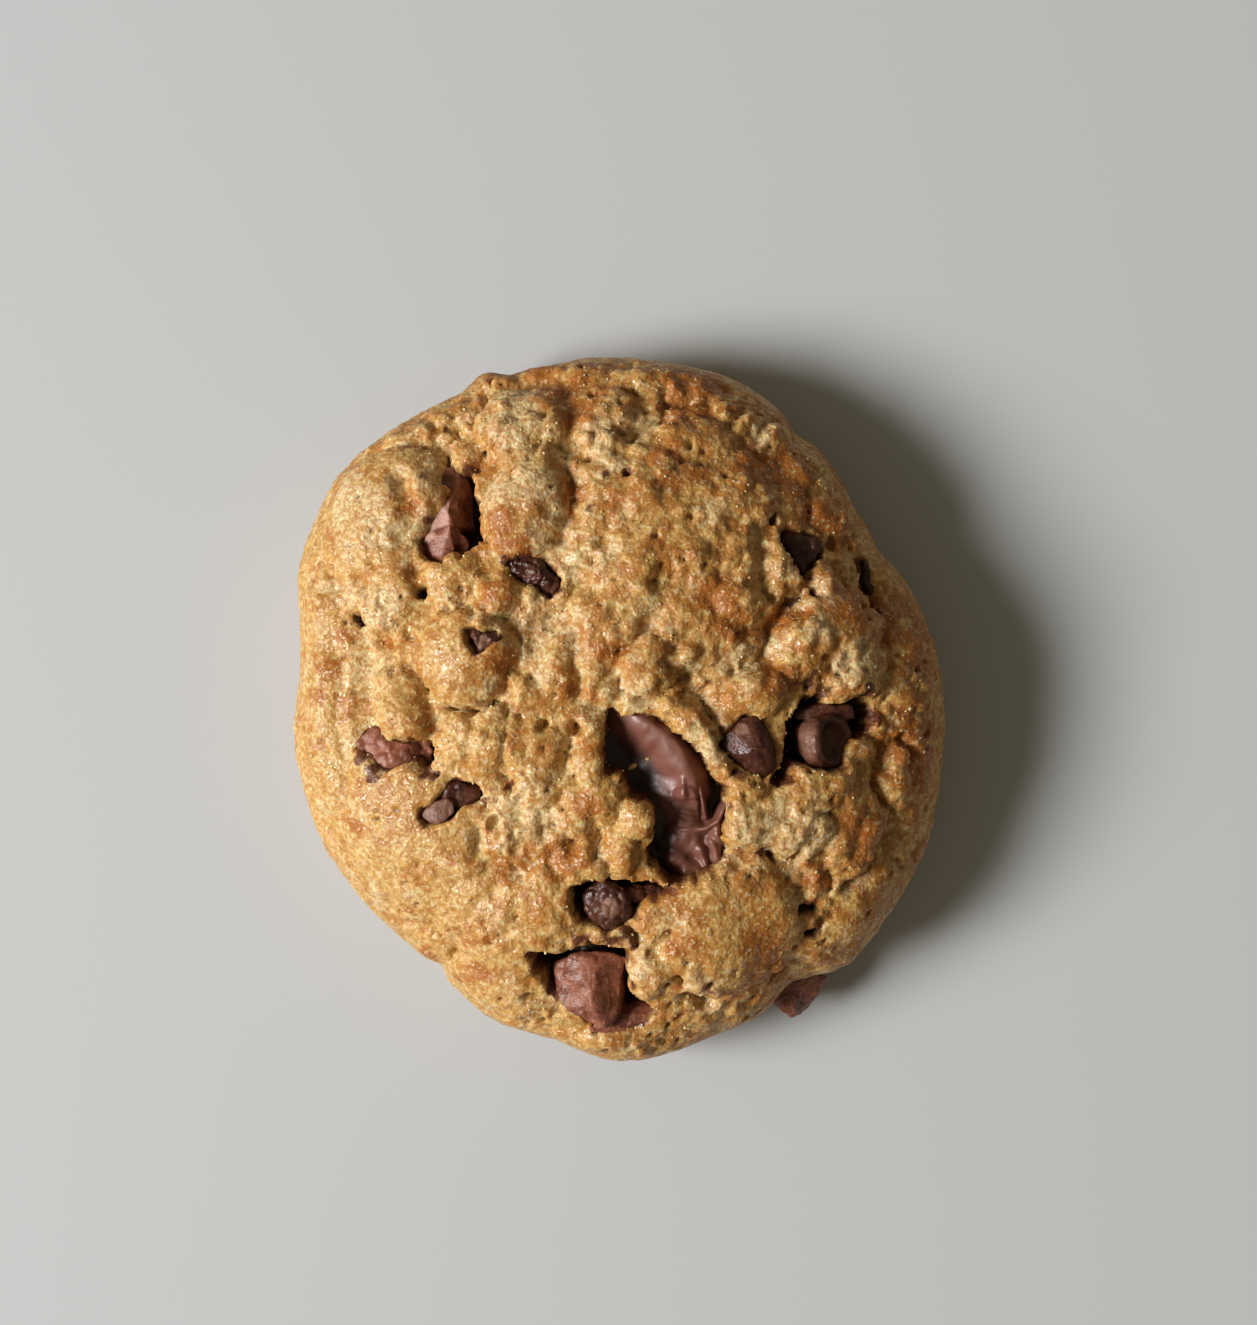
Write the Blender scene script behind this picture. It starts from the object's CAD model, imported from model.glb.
import math
import random

import bmesh
import bpy
import numpy as np
from mathutils import Euler, Matrix, Vector, kdtree, noise


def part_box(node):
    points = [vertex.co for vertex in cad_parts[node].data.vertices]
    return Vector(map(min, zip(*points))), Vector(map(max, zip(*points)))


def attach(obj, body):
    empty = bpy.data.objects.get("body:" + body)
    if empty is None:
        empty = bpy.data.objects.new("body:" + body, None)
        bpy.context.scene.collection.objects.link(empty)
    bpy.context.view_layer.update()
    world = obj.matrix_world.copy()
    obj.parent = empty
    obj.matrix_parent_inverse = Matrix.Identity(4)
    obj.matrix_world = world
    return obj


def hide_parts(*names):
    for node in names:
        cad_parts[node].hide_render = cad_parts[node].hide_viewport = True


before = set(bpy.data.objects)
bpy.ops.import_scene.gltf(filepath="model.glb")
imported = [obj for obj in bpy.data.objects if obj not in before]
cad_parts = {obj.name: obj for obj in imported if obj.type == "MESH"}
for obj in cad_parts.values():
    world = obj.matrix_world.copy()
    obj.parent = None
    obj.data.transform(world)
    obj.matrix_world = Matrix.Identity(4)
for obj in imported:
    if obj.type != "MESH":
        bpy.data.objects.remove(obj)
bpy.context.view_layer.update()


# ------------------------------------------------------------------------- the dough
# One lump of soft golden dough, dropped on the tray in several spoonfuls that ran together
# as it baked.  It is flat and browner underneath, its skin is lumpy and full of fine pores,
# and it tore open in furrows round the pieces of chocolate.

# Sizes are in mm until a mesh is finished.  The plain dome leaves room at its rim and above
# its crown for the lumps, is widest at its girth, and curves in below that to its base.
MM = 0.001
low_corner, high_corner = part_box("dough")
HALF_WIDTH = (high_corner.x - low_corner.x) / 2 / MM
HALF_LENGTH = (high_corner.y - low_corner.y) / 2 / MM
HEIGHT = high_corner.z / MM
RIM_ROOM = 0.1
CROWN_ROOM = 2.6
GIRTH_HEIGHT = HEIGHT / 3
DOME_RISE = HEIGHT - CROWN_ROOM - GIRTH_HEIGHT
BASE_INSET = 5.5
DOME_FULLNESS = 2.4
UNDERCUT_ANGLE = math.radians(62)
SKIN_CELLS = 308

# Bulges (+) and flats (-) of the rim: direction in degrees, change, half width in degrees.
RIM_BULGES = [
    (-57.5, -2.5, 6.5), (143, 3.4, 22), (112, 1.2, 3), (57, -0.9, 3), (31, -0.6, 3.5), (37, -2.8, 20),
    (-35, 0.8, 25), (-72, -1.2, 12), (-102, -1.2, 8), (-128, -2.8, 20), (-125, -0.8, 2), (170, -1, 9),
]

# Lumps of dough that were pressed together: x, y, half length, half width, turn and rise.
DOUGH_LUMPS = [
    # along the left rim
    (-34, 10, 6, 2.9, 85, 1.1), (-33.8, 2, 7, 2.8, 90, 1.3), (-33, -7, 6, 3.2, 100, 1),
    # upper left, round the big chunk and the crack
    (-27.5, 22.5, 8.8, 6.6, 60, 2), (-21.1, 24.6, 2.1, 2, 0, 2.3), (-17.8, 28.4, 1.9, 1.8, 0, 0.6),
    (-11.2, 32.2, 5.8, 4.6, 20, 2), (-10.2, 23.5, 7.4, 4.6, 80, 2.5), (-18.4, 14.6, 4.2, 3.4, 0, 1.4),
    (-25.5, 14.8, 4.5, 2.6, -30, 1.1), (-26.5, 11.2, 3.6, 3, 0, 1.2), (-18.7, 16.9, 1.2, 1.5, 90, 1.5),
    # left of the middle
    (-16.5, 6.3, 6, 5.6, 90, 2.6), (-13.1, 12.8, 2.5, 2.4, 0, 2), (-24.4, 2.6, 3.2, 2.7, 0, 1.7),
    (-23.8, -0.5, 3.8, 3, -25, 2.4), (-14.8, 9.5, 1.1, 0.9, 0, 2.9), (-9.2, 3, 3, 3, 0, 0.5),
    (-6.4, 5, 4.4, 3, 82, 0.7), (-8.6, 12.4, 2.6, 2.2, 0, 1),
    # the middle
    (-15, -3.2, 5, 3.8, 0, 1.3), (-9.8, -4.2, 4.2, 3.2, 0, 1.2), (-3.2, -4.8, 3.8, 2.6, 90, 1.4),
    (-8.8, -8, 3.4, 2.8, 0, 1.1), (-2.6, -9.6, 4.2, 3.2, 60, 1.7), (2.2, -11.8, 2.2, 2.3, 90, 1.7),
    (0.4, -15.2, 3, 1.8, 85, 1.3), (-4.2, -17, 3.2, 2.2, 0, 1), (-5, -12.2, 2.6, 2.2, 0, 1),
    # the left flank and the bottom left
    (-24, -14, 11, 8, 110, 1.3), (-14.5, -23.5, 9, 6, -30, 1.2), (-8.5, -21, 4.6, 4, 0, 1.3),
    (-21, -27.5, 4.5, 3.2, -50, 0.8), (-14.5, -31.5, 6.5, 3.6, -15, 0.9), (-2, -37.6, 7.5, 2, 0, 0.8),
    (-12.6, -13.2, 4.5, 3.4, 60, 0.6), (-17.2, -17.2, 2.6, 1.8, 10, 1.5),
    # the lower right
    (11.6, -25.2, 9.6, 7.8, 15, 2.5), (3.4, -29.2, 3.6, 2.4, 80, 2), (4.4, -22.8, 3.2, 2.1, 30, 0.9),
    (14.6, -11.5, 4.6, 3.4, 90, 1.8), (20, -12.2, 5.6, 4.6, 0, 2), (26.2, -13, 5.4, 4.2, 90, 1.4),
    (23.2, -8.2, 4, 3, 0, 1.7), (27.8, -22, 4.8, 3.8, 60, 0.9), (31.2, -7.6, 3.6, 1.4, 95, 1.2),
    # the right
    (24.6, 9.6, 5.8, 4.6, -20, 2), (20.8, 8.4, 3.4, 3.2, 0, 2.1), (18.1, 15.2, 4.4, 2, 110, 1.6),
    (15, 2.1, 3.3, 2.9, 0, 2.1), (26.4, 4.4, 4.2, 3.6, 0, 1.6), (20.4, 5.4, 4, 2.6, 20, 1.3),
    (33.2, 4, 10, 3.4, 92, 0.9), (33.6, -8, 6, 3, 85, 0.8), (23, 14.2, 2.6, 2, -40, 1.5),
    # the crown
    (8, 20, 14, 12, 0, 1.5), (13.2, 12.2, 3.3, 2.9, 0, 2.1), (1.5, 15.5, 6.4, 5, 80, 2),
    (4, 24.8, 5.4, 4.2, 35, 1.9), (14, 23.2, 4.6, 3.6, 20, 1.9), (8.6, 9.2, 5.2, 4, 0, 1.7),
    (-1.6, 10, 6, 4.2, 92, 1.4), (3.6, 5.4, 3.8, 3.4, 60, 2.4), (8.6, -2.2, 6.2, 1.9, -52, 1.6),
    (8.5, 16.5, 4, 3, -40, 1.9), (-2.2, 3, 2, 2.4, 0, 0.6),
    # along the top rim
    (-1.4, 32.4, 5, 3, 80, 1.3), (8.8, 30.2, 5, 3, 0, 1.3), (5, 37, 7.2, 2.4, -5, 0.9),
    (-5, 38, 5, 2, 0, 0.8), (-9.6, 38, 2.8, 1.8, 0, 1.1), (-12.8, 37.2, 1.8, 1.6, 0, 0.8),
    (13.6, 32.6, 3.2, 2.2, -40, 1.1), (17.6, 30.6, 3.2, 2.2, -50, 1), (22.2, 26, 5.2, 3.8, -50, 1),
    (24.2, 22, 3.6, 3, 0, 1.1), (19, 23.2, 3.4, 2.6, 0, 1.2),
]

# Furrows and cracks: depth and half width, then the x, y points of the line.
DOUGH_FURROWS = [
    (2.6, 0.9, [(-19.2, 25.6), (-19.7, 27.5), (-20.1, 29.6), (-19.5, 31), (-18.4, 31.6)]),
    (1.8, 0.7, [(-19.5, 31), (-21.8, 30.2)]),
    (2.2, 0.9, [(-18.7, 32.4), (-16.8, 32.9), (-16, 34.2), (-15.6, 35), (-14.2, 37.6)]),
    (1.8, 0.7, [(-17.6, 27.2), (-16, 27.2), (-15.5, 27.9)]),
    (1.1, 1.5, [(-24, 25.4), (-22.8, 22.4), (-23, 20.3), (-24.3, 19)]),
    (0.7, 2.6, [(-6, 29.2), (-5.4, 25.5), (-6, 22.5), (-7.3, 19.5), (-7.6, 17)]),
    (0.7, 1.8, [(-7.6, 11.6), (-8.2, 9.5), (-9.7, 7.4), (-9.4, 4.5)]),
    (0.8, 1.5, [(-4.9, 8.4), (-4.4, 6), (-4.3, 3.5), (-4.4, 1.2), (-3, 0.4), (-1.4, 0)]),
    (0.8, 1.5, [(-12.2, 9.5), (-11, 7.5), (-10.9, 5), (-11.8, 2.8), (-13.2, 1.3)]),
    (2.4, 0.6, [(-18, 0.3), (-15.5, 0.5), (-13.1, 0.7)]),
    (2.2, 0.6, [(-6.6, -1.5), (-4.4, -2)]),
    (1.8, 2.1, [(-29.4, 9.8), (-28.9, 6.5), (-28.6, 3.5), (-28.7, 0.5), (-28.2, -2)]),
    (1.8, 0.8, [(-29.4, -3.6), (-27.7, -5.4), (-26.4, -6.4)]),
    (1.6, 0.9, [(-22.6, -5.7), (-20.6, -7)]),
    (1.6, 1.4, [(19.6, 12.6), (17.8, 10), (17.2, 8.2), (16.1, 6.2), (14.9, 4.4)]),
    (1.3, 1.6, [(15.3, 19.5), (16, 16.5), (16.6, 13.6)]),
    (0.7, 1.8, [(3.4, 10), (1.6, 8.6), (0.3, 6.3), (-0.6, 3.6)]),
    (1.5, 1.2, [(6.2, 5), (7.4, 3.4), (9.4, 1.4), (10, -0.8)]),
    (1.9, 0.8, [(28.4, -2.8), (29.6, -4.3), (29.2, -7.5), (29.6, -10.5)]),
    (1.7, 0.8, [(31.6, -3), (32.8, -5)]),
    (1.7, 0.9, [(30, -14.5), (28, -17.2), (25.6, -19.5)]),
    (1.3, 1.3, [(12.4, -16.4), (15.5, -15.9), (17.6, -16.9), (19.8, -17.5), (20.8, -20)]),
    (1.3, 0.9, [(5.3, -24.3), (3.8, -26), (1.6, -25.4), (1.1, -24.4)]),
    (1.5, 0.6, [(-12.9, -7.9), (-11.8, -8.8), (-10.9, -7.9)]),
    (1.1, 0.5, [(-15.1, -10.6), (-14.2, -12), (-13.6, -13)]),
    (1.5, 0.7, [(-16, -13.5), (-15.6, -15.2)]),
    (1, 0.6, [(-11.9, -17), (-10.7, -18.3)]),
    (1.1, 1.2, [(-5.6, -3.8), (-6.2, -5.5), (-6.9, -7.6)]),
    (1.3, 1, [(-10, -32.3), (-8.3, -32.7), (-7.1, -33.6)]),
    (1.5, 0.8, [(7.2, -31.6), (8.6, -32.4), (10.2, -33.2)]),
    (1.3, 0.9, [(4.7, 36.4), (5.5, 35.1), (7, 34.6), (8.3, 34.8)]),
    (0.9, 0.8, [(-18.6, 11.4), (-16.6, 12), (-15.7, 10.6)]),
    (0.7, 0.7, [(-27.5, 18.2), (-23.5, 18.2)]),
    (1, 1.3, [(-2, 31.5), (1.5, 30.6), (3, 31), (5.5, 32.6)]),
    (1.3, 0.9, [(-5.7, -14.5), (-4.6, -15.4)]),
    (1, 1.1, [(-3, -12), (-1.8, -14.5), (-2.5, -16)]),
    (1.1, 1, [(14, 33.6), (12.2, 31.4)]),
    (1, 1, [(17.6, 32.4), (15.8, 30.8)]),
    (1.1, 1.4, [(-9, 12.6), (-6.4, 10.6)]),
]

# Open holes in the dough: x, y, radius and depth.  The deepest show as dark pits.
PIT_DEPTH = 2.4
DOUGH_HOLES = [
    (-30, 10.2, 0.8, 2.8), (-31.2, 9.9, 0.5, 1.2), (-29, 10.1, 0.4, 1.2), (-21.8, 13.5, 0.75, 2.8),
    (-26.8, 7.5, 1.3, 1.4), (-24.1, 6.9, 0.5, 1.6), (-27.6, 16.5, 0.8, 0.9), (-34.3, 14.8, 0.5, 1),
    (-23.6, 25.6, 0.5, 1), (-13.5, 29, 0.6, 1.2), (-10.7, 31.7, 0.6, 1.4), (-15.9, 27.6, 0.4, 1.4),
    (-0.9, 26, 0.5, 1.5), (0.7, 26.1, 0.5, 1.5), (-1.3, 22.7, 0.35, 1), (-3.1, 27.4, 0.4, 1),
    (4.7, 23, 0.5, 1.2), (8.1, 21.3, 0.5, 1.2), (7.2, 16.3, 0.45, 1.1), (1.3, 18.5, 0.35, 0.8),
    (-3.4, 16.4, 0.45, 0.9), (-11.2, 25.8, 0.35, 0.9), (3.3, 33.7, 0.6, 1.2), (8.5, 33.7, 0.5, 1),
    (-3.4, 35.6, 0.5, 1.2), (-0.4, 36.3, 0.5, 1), (2.3, 35.6, 0.4, 0.9), (-1.9, 31.8, 0.4, 0.9),
    (16.9, 20.7, 0.7, 1.8), (21.5, 12.9, 0.6, 1.8), (19.3, 12.2, 0.6, 1.6), (24, 18.7, 0.7, 1.2),
    (21, 24.2, 0.6, 1.2), (19.6, 28.2, 0.5, 1), (21.6, 22.2, 0.5, 1.2), (7.6, 29.4, 0.6, 1),
    (-12.7, 10.3, 0.7, 1.4), (-25, 4.2, 0.4, 0.9), (-21.2, 2.2, 0.4, 0.9), (-30, 4.5, 0.7, 1.6),
    (-30.2, 2.4, 0.6, 1.4), (-8, -1.5, 0.8, 1.2), (-11, -0.5, 0.4, 1), (-9, -0.8, 0.5, 1.2),
    (-12.2, -0.6, 0.35, 0.9), (6.2, 4.8, 0.7, 1.4), (14.7, 4.3, 0.6, 1.5), (23.3, 5.5, 0.5, 1.2),
    (25.2, 5.4, 0.5, 1.2), (24, 4.4, 0.45, 1.1), (19.5, 4.7, 0.4, 1), (11.8, 5.1, 0.4, 1),
    (13, -7, 0.7, 1.6), (17.9, -7.4, 0.8, 2), (27.2, 10.2, 0.4, 0.9), (26.6, 7.4, 0.5, 0.9),
    (-32.6, -4.2, 0.4, 0.8), (-33.2, -7.4, 0.4, 0.8), (34.4, -2.8, 0.6, 0.9), (32.9, 0.3, 0.4, 0.8),
    (-21.7, -16.7, 0.4, 0.9), (-21.9, -18.5, 0.35, 0.8), (-24.7, -22.8, 0.4, 0.8), (-18.2, -26, 0.4, 0.8),
    (-20.2, -25.2, 0.4, 0.8), (-13.9, -22, 0.35, 0.8), (-11.2, -22.7, 0.4, 0.9), (-16.6, -24, 0.4, 0.8),
    (-18.6, -27.5, 0.8, 0.9), (1.1, -24.6, 0.6, 1.6), (6.3, -29.2, 0.6, 1.3), (6.8, -29.8, 0.5, 1.2),
    (16.3, -15.9, 0.7, 1.6), (17.6, -16.8, 0.8, 2), (20, -16.2, 0.7, 1.6), (19.4, -19, 0.6, 1.6),
    (20.8, -20.2, 0.6, 1.6), (21.1, -22, 0.8, 2.6), (22.2, -21.8, 0.8, 2.6), (22, -25.2, 0.9, 2.6),
    (22.8, -23.6, 1, 1.4), (23.2, -26, 0.5, 1.2), (19.4, -26.4, 0.5, 1.2), (24, -18.9, 0.5, 1.4),
    (23.3, -18.2, 0.6, 1.2), (25.3, -17, 0.4, 0.9), (21.5, -13.4, 0.4, 0.9), (29, -16.4, 0.6, 1.4),
    (13.2, -9.4, 0.35, 0.8), (27.4, -6, 0.4, 0.8), (9.6, -33.2, 0.7, 1.4), (7, -34.5, 0.6, 1),
]

# Smooth stretches of skin, where the dough didn't crumble: x, y, radius.
SMOOTH_SKIN = [
    (-27, 22, 8.5), (-10.5, 23, 5.5), (-16.5, 5.5, 6), (-13, 12.5, 2.5), (-23, -15, 11), (-34, 3, 8),
    (24.5, 10.5, 4), (12, -25, 7), (-24, 1, 3), (-16, -30, 6), (28, -22, 5), (15, 1.5, 2.5),
]

# Stretches of torn, pale, moist crumb, and stretches baked brown: x, y, radius.
PALE_CRUMB_PLACES = [
    (-12, 32, 5.5), (-28.6, 4, 4.5), (-3, 27.5, 3.5), (-12.5, -11.5, 4.5), (1.5, 1.8, 3.2), (8.5, -3, 3.2),
    (14, 5.5, 4), (21, 8.4, 2.6), (26, 5, 3.6), (8, 4.2, 2.4), (-26.5, 12, 4), (17.8, 15.5, 2.5),
    (22.5, 13, 2), (13.5, -12, 3), (3, -28, 2.5), (-2, 17.5, 3), (10, 21.8, 2.4), (21, -14, 4),
    (-8.5, -12.5, 3), (-21, 24.6, 2), (9, -30, 3), (-10.5, 24.5, 5.5), (17, -13, 4), (10.6, -4.2, 2.4),
    (-28.5, 21.5, 5),
]
BROWN_PLACES = [
    (-13, 38.2, 3.2), (-9, 38.5, 2.6), (-5, 33.6, 3.2), (-3, 37.5, 3.5), (-23.2, 22.5, 2.6),
    (-12.6, 20, 2.2), (-10.5, 17.8, 2.2), (-26.8, 7.5, 2.2), (-32.5, 5.2, 2), (-30.8, 0.5, 2.6),
    (-31, 8, 1.8), (17.5, 2.9, 2.6), (12.6, 8.4, 4), (24.5, 11.6, 3.6), (-6, -16.2, 2.8),
    (-3.4, -10.4, 2), (-16.6, -17.4, 1.8), (-13.8, -17.6, 1.5), (6.6, -25.4, 2.4), (-21.5, -24, 2.6),
    (-17, -29.3, 3.4), (-22.5, -27, 2.6), (10.4, 12.6, 3.4), (6, 26.5, 3.6), (-0.4, 6.2, 2), (-6, 3, 2.6),
    (-5.6, 24, 2.4), (19, 26, 4), (23, 21, 4), (15, 27, 4), (8, 35, 6), (27.5, -13, 3.6), (16, -26, 4.5),
    (32, 8, 6), (33, -4, 6), (-13, 5.2, 2.6), (-21.6, -1.4, 1.6), (-28.8, -13.2, 1.6), (22, -19, 2.6),
    (-0.8, -4.2, 1.6), (-11.2, -16.3, 2.6), (18.7, 10.4, 2.4), (-32.6, 1.8, 2.2), (-16.5, -24.5, 3),
    (-13.4, 12.5, 2.2),
]

# Smears of melted chocolate on the dough: x, y, radius.
SMEARS = [
    (10.8, -2.4, 1.1), (21, 3, 1.5), (22.6, 2.6, 1.2), (17.9, -7.2, 1.2), (13.6, -7.2, 1),
    (5.2, -19.5, 1.4), (3.6, -20.3, 1.3), (-12.2, 16.6, 1), (-4.4, -25.3, 1.4), (-1.6, -25.2, 1.5),
    (0.8, -25.4, 1.4), (-27.4, -6.4, 1.2), (-20.8, -7.2, 1.1), (-15, -9.4, 0.9), (-17.6, 26.6, 1),
    (-31.2, 9.9, 0.6), (27.6, 2.4, 1), (28.6, -1.6, 1),
    (21.6, -22, 1.3), (22, -25.2, 1.3), (16.3, -16, 0.9), (17.6, -16.8, 0.9), (-13.6, -9.4, 0.6),
    (-0.9, 26, 0.9), (0.7, 26.1, 0.8), (21.5, 12.9, 0.8), (19.3, 12.2, 0.8), (-29, -4.8, 1.2),
    (-12, -8.6, 0.5), (-3.2, 22.2, 0.7), (9.8, -30.2, 1.2), (16.9, 20.7, 0.8),
]

# Pockets in the dough that the chocolate lies in: depth, then the outline of the opening.
POCKETS = {
    "chunk_molten": (4.8, [
        (-1.3, 0.1), (0.7, -0.3), (2.6, -0.4), (4.5, -0.8), (5.3, -1.6), (7.1, -2.7), (8.6, -4),
        (9.8, -5.6), (11.2, -7.5), (12.5, -8.9), (12.3, -10.8), (12, -12.3), (12.2, -13.8), (11.7, -14.5),
        (12.4, -15.3), (12.4, -16.3), (11.4, -17.4), (10.2, -17.9), (9, -18.7), (7.2, -18.9),
        (5.8, -19), (4.6, -17.9), (3.2, -16.8), (3.1, -15.4), (3.9, -14), (4, -11.2), (3, -10),
        (1.2, -9.3), (0.3, -6.9), (-1.4, -6.3), (-1.8, -2.9),
    ]),
    "chunk_bottom": (4, [
        (-10.4, -27.1), (-9.3, -26.6), (-7.6, -26.9), (-6.2, -26.9), (-5, -26.4), (-3.1, -26),
        (-1.3, -26.4), (1.3, -27.1), (1.1, -29.1), (1.8, -30.1), (1.4, -31.9), (2.3, -32.8), (4.4, -34.1),
        (3.4, -34.9), (1.6, -35.8), (-0.2, -36), (-2.6, -35.8), (-4.2, -34.7), (-6, -32.9),
        (-7.1, -32.5), (-7.6, -31.8), (-8.7, -30.6), (-9.5, -29.5), (-9.9, -28.2),
    ]),
    "chunk_upper_left": (4.4, [
        (-20.2, 26.9), (-19.3, 26.2), (-19.3, 27.1), (-18, 27.4), (-16.9, 26.8), (-15.4, 27.7), (-15.7, 26.9),
        (-16.6, 26.2), (-16.4, 24.2), (-15.7, 23.5), (-15.6, 22.1), (-15.3, 19.3), (-16.5, 18.3),
        (-17.4, 16.7), (-17.8, 17.6), (-18.5, 17.7), (-19.2, 17.1), (-19.8, 16.5), (-21.8, 16.9),
        (-22.9, 19), (-21.5, 21), (-20.7, 22.4), (-20.1, 23), (-19.8, 24), (-19.1, 25.2),
    ]),
    "chunk_left": (2.6, [
        (-28.3, -1.4), (-27.4, -2.4), (-26.4, -3), (-25.1, -3.4), (-23.6, -3.3), (-22.4, -3.3),
        (-20.9, -3.6), (-21.1, -5), (-20.8, -6.4), (-22.2, -6.6), (-23, -5.5), (-24.7, -6.1),
        (-26, -6.6), (-27, -6.4), (-28.3, -5.2), (-29.4, -3.6),
    ]),
    "chip_right": (3.4, [
        (20.2, 0.6), (20.7, 1.7), (22.8, 1.8), (23.3, 1), (25.2, 0.9), (26.2, 1.5), (27.6, 1.9),
        (28.3, 0.2), (28.6, -1.8), (27.4, -2.9), (26, -3.2), (25.7, -4.8), (25, -6.5), (23.4, -6.8),
        (21.6, -6), (19.6, -5.9), (18.7, -7.9), (17.4, -8), (17.7, -6.9), (18.5, -6.3), (18.3, -3.6),
        (18.7, -1.3), (19.5, -0.7),
    ]),
    "chip_teardrop": (2.2, [
        (10.9, -3.6), (12.2, -2.3), (13.5, -1.1), (14.6, -0.6), (15.6, -1.1), (16.6, -2.9), (17.3, -5.2),
        (17, -6.6), (16, -7.3), (14.9, -7), (12.6, -5.2), (11, -4.1),
    ]),
    "chip_bottom": (3, [
        (-5.1, -19.3), (-2.5, -18.9), (0.8, -18.7), (3.2, -19.3), (6.6, -19.8), (5, -20.5),
        (3.2, -20.8), (2.4, -22), (1.6, -23.2), (-1, -24.4), (-2.9, -24.2), (-4.6, -22.8),
        (-5.2, -21.3),
    ]),
    "chip_left": (2.4, [
        (-22, -11.8), (-21.4, -10.8), (-20.2, -9.5), (-19.2, -8.2), (-18.3, -7.4), (-16.4, -7.9),
        (-15.2, -8.9), (-15.3, -10.2), (-17, -10.6), (-18.1, -11.6), (-20, -12.7), (-21.6, -12.6),
    ]),
    "chip_upper": (2, [
        (-12.4, 16.6), (-10.8, 17.3), (-8.2, 16.6), (-6.2, 14.9), (-6.1, 13.3), (-7.6, 12.5),
        (-9.6, 13.7), (-11.6, 14.9),
    ]),
    "chip_centre": (1.6, [
        (-16.6, 9), (-15.8, 9.2), (-14.9, 8.4), (-13.1, 8.7), (-13.3, 7.6), (-14.4, 6.6),
        (-15.5, 6.2), (-16.2, 7.4),
    ]),
    "chip_upper_right": (2.6, [
        (17.5, 20.2), (20, 20), (22.2, 19.6), (23, 17.8), (21.8, 15.6), (20.9, 14.7),
        (19.8, 15), (18.4, 17.8),
    ]),
    "chunk_far_right": (2.4, [
        (27.3, 17.1), (28.3, 17), (28.8, 15), (29.9, 11.5), (29.8, 10.6), (28.2, 12.6), (27.2, 14.4),
    ]),
}


def rim_radius(angle):
    """Distance from the middle to the rim: an ellipse with the rim's bulges and flats."""
    across = np.cos(angle) / (HALF_WIDTH - RIM_ROOM)
    along = np.sin(angle) / (HALF_LENGTH - RIM_ROOM)
    radius = 1 / np.hypot(across, along)
    for direction, change, half_width in RIM_BULGES:
        away = (np.degrees(angle) - direction + 180) % 360 - 180
        radius = radius + change * np.exp(-((away / half_width) ** 2))
    return radius


def side_profile(steps=400):
    """The side's curve from the crown over the girth to the base: length, across, height."""
    turn = np.linspace(0, math.pi / 2, steps)
    across = np.sin(turn) ** (2 / DOME_FULLNESS)
    height = GIRTH_HEIGHT + DOME_RISE * np.cos(turn)
    under = np.linspace(0, UNDERCUT_ANGLE, steps // 4)[1:]
    inset = BASE_INSET / HALF_WIDTH / (1 - math.cos(UNDERCUT_ANGLE))
    across = np.append(across, 1 - inset * (1 - np.cos(under)))
    height = np.append(height, GIRTH_HEIGHT * (1 - np.sin(under) / math.sin(UNDERCUT_ANGLE)))
    runs = np.hypot(np.diff(across) * HALF_WIDTH, np.diff(height))
    length = np.append(0, np.cumsum(runs))
    return length / length[-1], across, height


def dome_points(u, v):
    """Places a square grid, -1 to 1 each way, round over the plain dome."""
    disc_x, disc_y = u * np.sqrt(1 - v * v / 2), v * np.sqrt(1 - u * u / 2)
    angle = np.arctan2(disc_y, disc_x)
    length, across, height = side_profile()
    part = np.minimum(np.hypot(disc_x, disc_y), 1)
    radius = np.interp(part, length, across) * rim_radius(angle)
    return np.stack([radius * np.cos(angle), radius * np.sin(angle), np.interp(part, length, height)], 1)


def lift(x, y):
    """The point of the plain dome straight above x, y."""
    part = min(math.hypot(x, y) / float(rim_radius(math.atan2(y, x))), 1.0)
    rise = math.sqrt(1 - part**DOME_FULLNESS)
    return np.array([x, y, GIRTH_HEIGHT + DOME_RISE * rise])


def outward(points):
    """The directions out of the plain dome at points of its skin."""
    above = np.maximum(points[:, 2] - GIRTH_HEIGHT, 0) / (HEIGHT - GIRTH_HEIGHT) ** 2
    way = np.stack([points[:, 0] / HALF_WIDTH**2, points[:, 1] / HALF_LENGTH**2, above], 1)
    return way / np.linalg.norm(way, axis=1, keepdims=True)


def noise_at(points, size, where=0.0):
    """Smooth noise from -1 to 1 in lumps of this size; where shifts it to another pattern."""
    return np.array([noise.noise(place) for place in (points / size + where).tolist()])


# Without a seed the swirls would be others each time.
SWIRL_SEED = 3
noise.seed_set(SWIRL_SEED)


def strayed(points, *swirls):
    """The points carried off in swirls: how far and how big for each kind of swirl."""
    carried = points
    for far, size in swirls:
        drift = [noise.noise_vector(place) for place in (points / size).tolist()]
        carried = carried + far * np.array(drift)
    return carried


# Sets the middles of cells far enough apart for each to have a chance number of its own.
CHANCE_SPREAD = 7.3


def cells_at(points, size):
    """Each point's distance to the nearest cell middle, and a chance number for that cell."""
    found = [noise.voronoi(place) for place in (points / size).tolist()]
    nearest = np.array([distances[0] for distances, _ in found]) * size
    chance = np.array([noise.cell(middles[0] * CHANCE_SPREAD) for _, middles in found])
    return nearest, chance


def distance_to_line(points, line):
    """Shortest distance from points to a line of straight stretches laid over the dome."""
    nearest = np.full(len(points), np.inf)
    corners = [lift(x, y) for x, y in line]
    for start, end in zip(corners, corners[1:]):
        run = end - start
        part = np.clip((points - start) @ run / (run @ run), 0, 1)
        away = points - start - part[:, None] * run
        nearest = np.minimum(nearest, np.linalg.norm(away, axis=1))
    return nearest


def nearness(points, places, spread=1):
    """1 in the middle of any of these round places on the dome, falling to 0 at their edges."""
    felt = np.zeros(len(points))
    for x, y, radius in places:
        away = np.linalg.norm(points - lift(x, y), axis=1) / (spread * radius)
        felt = np.maximum(felt, 1 - away**2)
    return felt


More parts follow.
